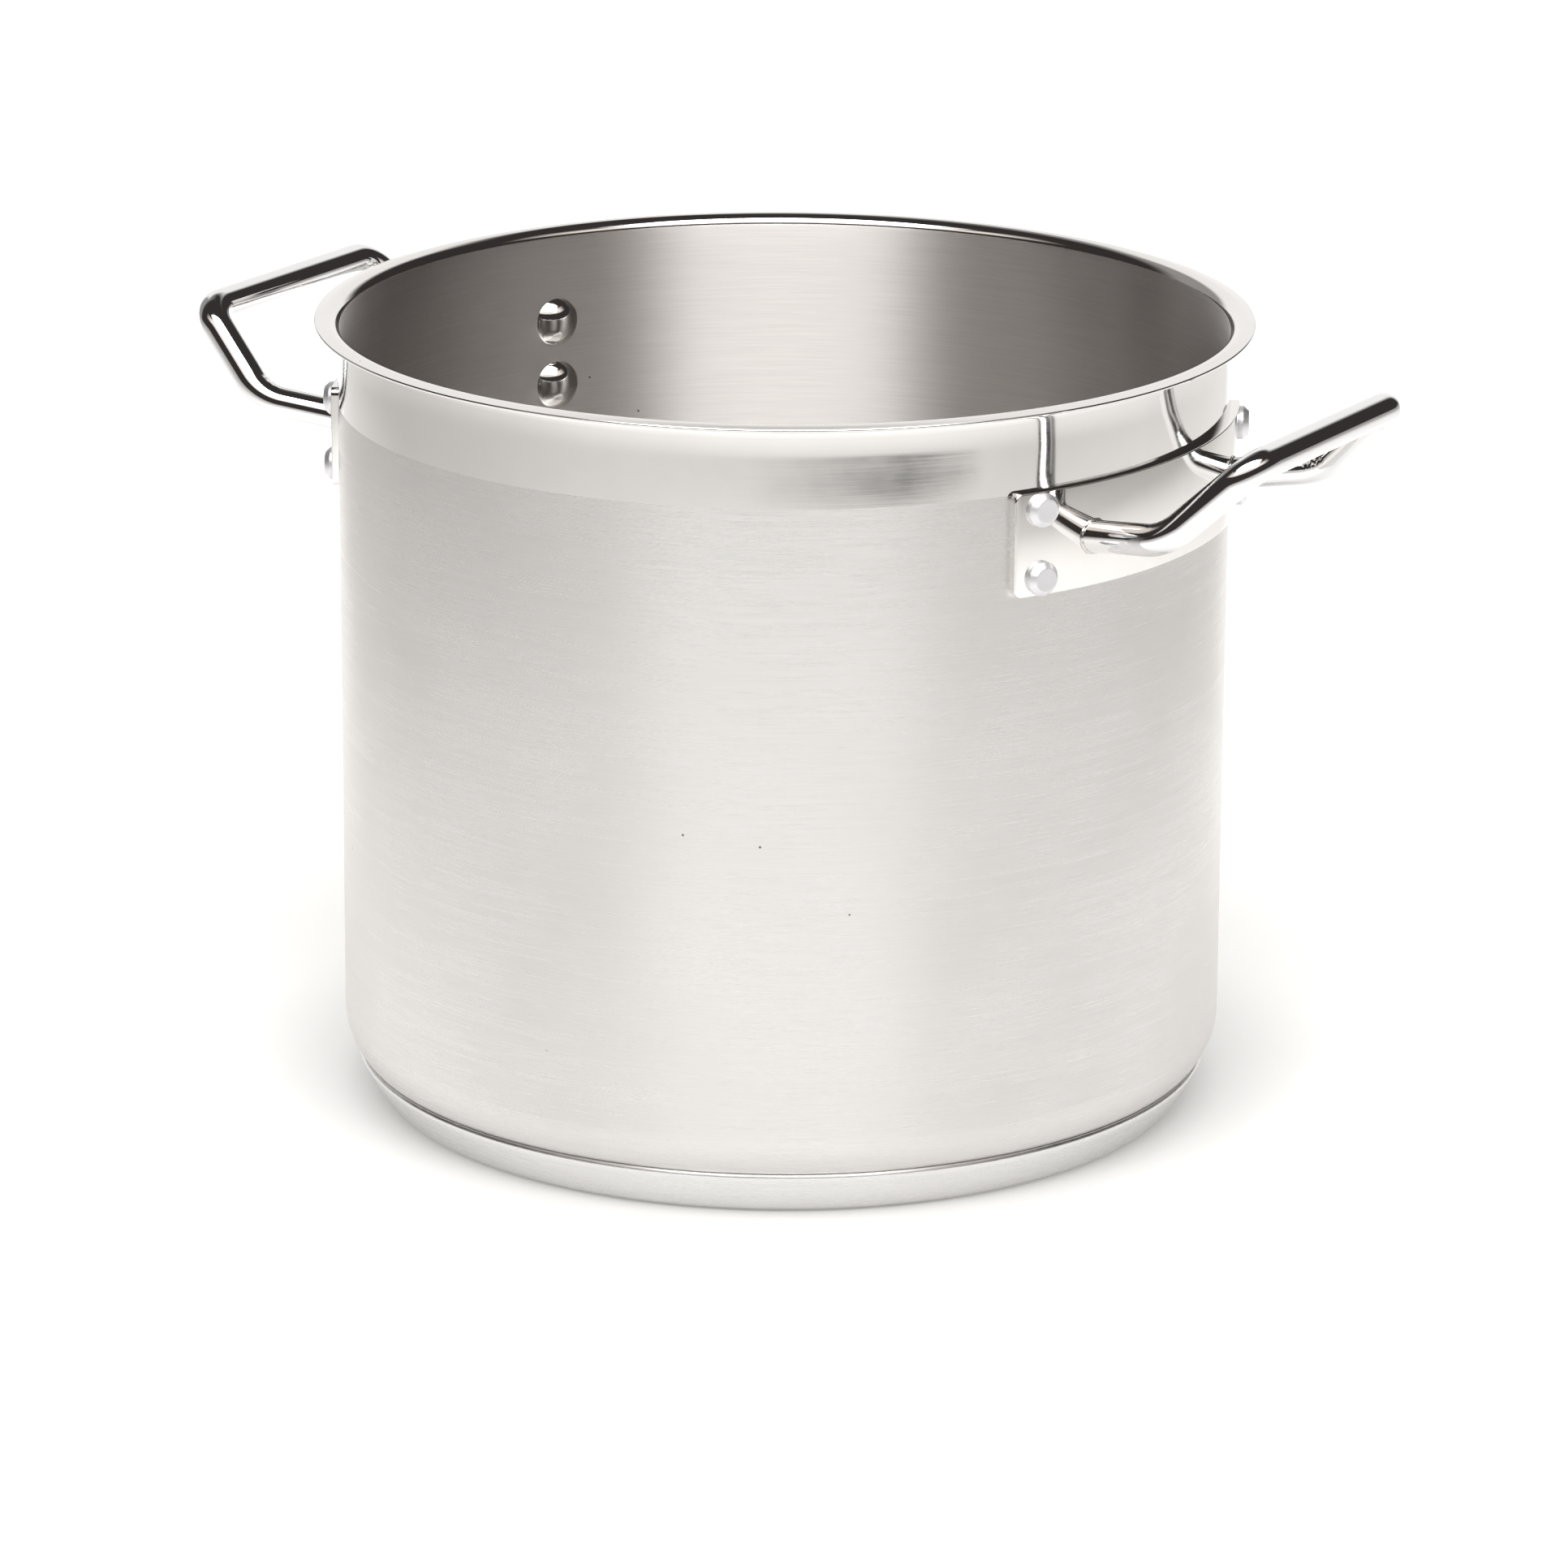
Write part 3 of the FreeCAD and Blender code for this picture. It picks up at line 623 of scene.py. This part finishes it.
def product(nodes, *factors):
    """All factors multiplied together."""
    total = factors[0]
    for factor in factors[1:]:
        total = nodes.math("MULTIPLY", total, factor)
    return total


# painted shade: the floor's colour and glow darken to the sides and towards the camera: sooner on
# the left, later at the right rear
right_rear = product(paper, paper.spread(across, 0.0, 0.18, 0.0, 0.4),
                     paper.spread(away, 0.0, 1.0, -0.6, 0.1))
stretch = paper.math("SUBTRACT", paper.spread(across, 1.12, 0.98, -0.3, 0.3), right_rear)
lopsided = product(paper, across, stretch)
fade = paper.spread(length(paper, lopsided, nearer), FLOOR_NEAR, FLOOR_FAR, *FALL_OFF, "SMOOTHSTEP")
# a grey shape on the floor before the pot shows as the soft bar in the polished band
reach = length(paper, across, away)
bearing = paper.math("ARCTAN2", across, paper.math("MULTIPLY", away, -1.0))
past = paper.math("SUBTRACT", reach, BAR_REACH)
off = paper.math("ABSOLUTE", paper.math("DIVIDE", past, BAR_HALF))
tip = paper.math("ADD", bearing, product(paper, off, BAR_POINT))
bar = product(paper, paper.spread(off, 1.0, 0.0, 0.75, 1.05, "SMOOTHSTEP"),
              paper.math("POWER", paper.spread(bearing, 0.0, 1.0, *BAR_RISE), 2.0),
              paper.spread(tip, 1.0, 0.0, *BAR_END, "SMOOTHSTEP"))
fade = product(paper, fade, paper.spread(bar, 1.0, 0.0))
# soft contact shadow round the foot
contact = product(paper, paper.spread(reach, CONTACT_LEFT[0], 1.0, *CONTACT_FOOT, "SMOOTHSTEP"),
                  paper.spread(reach, CONTACT_LEFT[1], 1.0, *CONTACT_WIDE))
shade = product(paper, fade, contact)
# the strip of floor seen behind the pot is lit up like a studio backdrop
widening = product(paper, paper.math("MAXIMUM", away, 0.0), 0.11)
aside = paper.math("SUBTRACT", paper.math("ABSOLUTE", across), widening)
strip = paper.spread(aside, 1.0, 0.0, 0.27, 0.42, "SMOOTHSTEP")
far_glow = GLOW_BACKDROP - GLOW_NEAR - GLOW_SIDES
rear_glow = paper.math("ADD", paper.spread(away, 0.0, GLOW_SIDES, -0.14, 0.08),
                       paper.spread(away, 0.0, far_glow, 0.08, 0.75))
extra = product(paper, strip, rear_glow)
glow = product(paper, shade, paper.math("ADD", extra, GLOW_NEAR))
mottle = paper.blend(paper.noise(paper_place, 1.3, 2.0), (0.80, 0.795, 0.785), (0.82, 0.815, 0.805))
warmth = paper.spread(fade, 0.0, 1.0, FLOOR_FAR, FLOOR_NEAR)
paper.link(paper.blend(shade, (0.0, 0.0, 0.0), mottle), paper.shader.inputs["Base Color"])
paper.link(glow, paper.shader.inputs["Emission Strength"])
paper.link(paper.blend(warmth, (1.0, 0.95, 0.90), (1.0, 0.985, 0.965)),
           paper.shader.inputs["Emission Color"])
paper.shader.inputs["Roughness"].default_value = 0.9
paper.shader.inputs["Specular IOR Level"].default_value = 0.1
floor.data.materials.append(paper.material)


def softbox(name, place, target, width, height, radiance):
    """White rectangular lamp of a given brightness, aimed at a point."""
    light = bpy.data.lights.new(name, "AREA")
    light.shape = "RECTANGLE"
    light.size, light.size_y = width, height
    light.energy = radiance * math.pi * width * height
    lamp = bpy.data.objects.new(name, light)
    lamp.location = place
    lamp.rotation_euler = (target - place).to_track_quat("-Z", "Y").to_euler()
    scene.collection.objects.link(lamp)
    return lamp


middle = Vector((0, 0, 0.22))
softbox("window_core", toward_view(0.0, -1.05, 1.95), middle, 1.80, 1.2, 4.7)
softbox("window", toward_view(0.0, -1.10, 2.02), middle, 2.4, 1.3, 2.0)
softbox("window_rim", toward_view(0.0, -1.15, 2.08), middle, 3.1, 1.4, 1.0)

world = bpy.data.worlds.new("studio")
scene.world = world
room = Nodes("studio", world)
across, away, rise = in_view(room, room.add("ShaderNodeTexCoord").outputs["Generated"])
# a warm strip of light on the camera's side, 28 to 47 degrees up, gives the tubes crisp white lines
strip_rise = product(room, room.spread(rise, 0.0, 1.0, *STRIP_RISE, "SMOOTHSTEP"),
                     room.spread(rise, 1.0, 0.0, *STRIP_TOP, "SMOOTHSTEP"))
near_side = product(room, room.spread(away, 1.15, 0.0, *STRIP_NEAR), strip_rise)
dim = room.blend(near_side, (0.0, 0.0, 0.0), STRIP_COLOUR)
# a bright wall behind the pot lights its front inside and its back lip
aside = room.math("ABSOLUTE", across)
behind = product(room, room.spread(away, 0.0, 1.0, *WALL_NEAR, "SMOOTHSTEP"),
                 room.spread(aside, 1.0, 0.0, *WALL_SIDE, "SMOOTHSTEP"),
                 room.spread(rise, 1.0, 0.0, *WALL_TOP, "SMOOTHSTEP"))
flank = product(room, room.spread(away, 0.0, 1.0, *FLANK_NEAR, "SMOOTHSTEP"),
                room.spread(across, 0.30, 0.0, *FLANK_SIDE))
lit = room.blend(room.math("MAXIMUM", behind, flank), CEILING, WALL_COLOUR)
both = room.add("ShaderNodeMix", data_type="RGBA", blend_type="ADD")
both.inputs["Factor"].default_value = 1.0
COLOUR_A, COLOUR_B, COLOUR_OUT = 6, 7, 2         # places of the colour sockets on a mix node
room.link(lit, both.inputs[COLOUR_A])
room.link(dim, both.inputs[COLOUR_B])
room.link(both.outputs[COLOUR_OUT], room.tree.nodes["Background"].inputs["Color"])

camera_data = bpy.data.cameras.new("camera")
camera_data.sensor_width = SENSOR
camera_data.lens = LENS
camera_data.clip_end = 50.0
camera = bpy.data.objects.new("camera", camera_data)
ahead = (toward_view(math.sin(YAW), math.cos(YAW), 0) * math.cos(PITCH)
         - Vector((0, 0, math.sin(PITCH))))
right = ahead.cross(Vector((0, 0, 1))).normalized()
upward = right.cross(ahead)
x_axis = right * math.cos(ROLL) + upward * math.sin(ROLL)
y_axis = upward * math.cos(ROLL) - right * math.sin(ROLL)
pose = Matrix((x_axis, y_axis, -ahead)).transposed().to_4x4()
camera.matrix_world = Matrix.Translation(toward_view(0, -CAMERA_BACK, CAMERA_UP)) @ pose
scene.collection.objects.link(camera)
scene.camera = camera
scene.view_settings.view_transform = "Standard"

bpy.context.view_layer.update()
